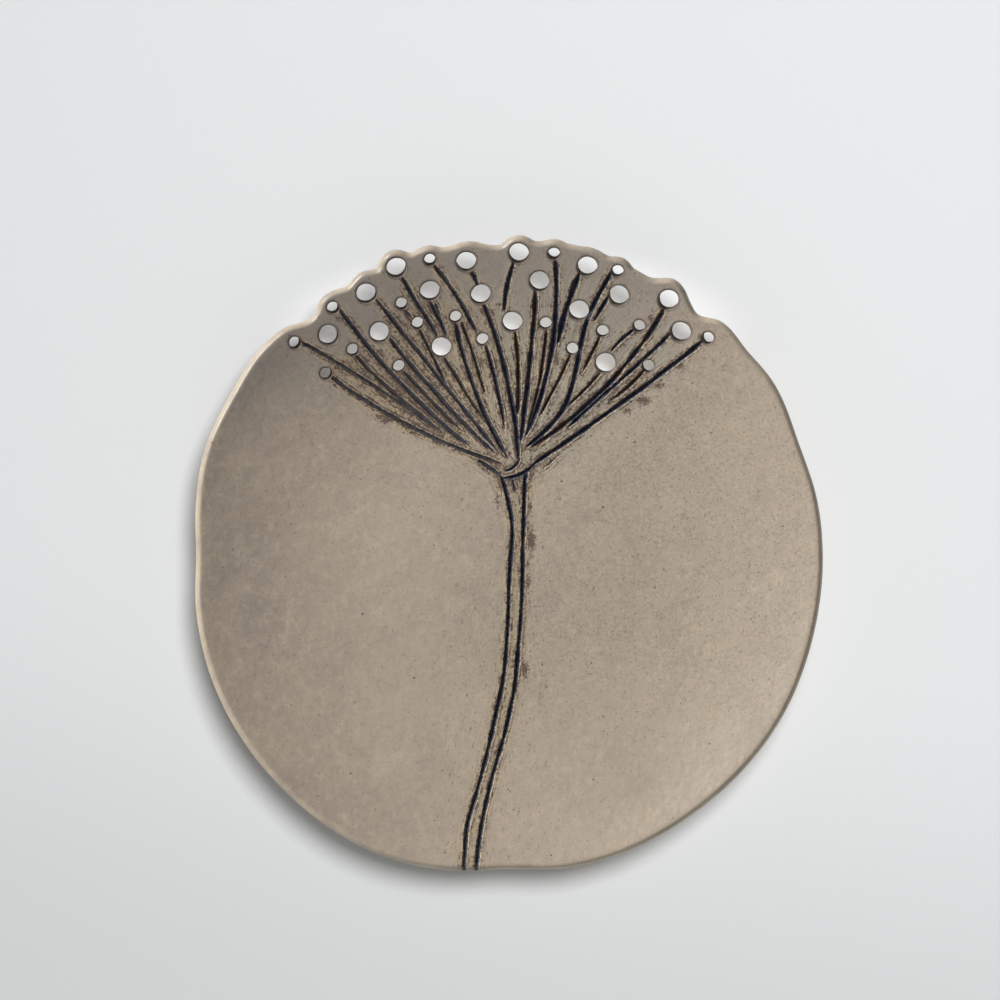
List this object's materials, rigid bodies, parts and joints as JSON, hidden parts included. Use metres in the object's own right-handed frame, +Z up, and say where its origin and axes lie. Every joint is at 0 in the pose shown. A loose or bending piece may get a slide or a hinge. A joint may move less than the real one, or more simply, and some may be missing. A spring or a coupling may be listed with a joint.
{
  "type": "wall plate",
  "caption": "Round hand-built stoneware wall plate, dished, with a pierced and carved flower umbel and a foot ring for hanging.",
  "frame": {"origin": "on the foot ring's flat back face, at the top of the ring, where the plate meets the wall", "axes": "+Z up as the plate hangs, +Y into the wall, -Y out of the plate's face, +X to the right as seen from the front"},
  "size_m": [0.2375, 0.0265, 0.2404],
  "materials": {
    "glaze": "satin warm grey-beige stoneware glaze, mottled and faintly crazed, with blue-black oxide in the carved lines"
  },
  "bodies": {
    "root": {"plate": "glaze"}
  },
  "joints": []
}
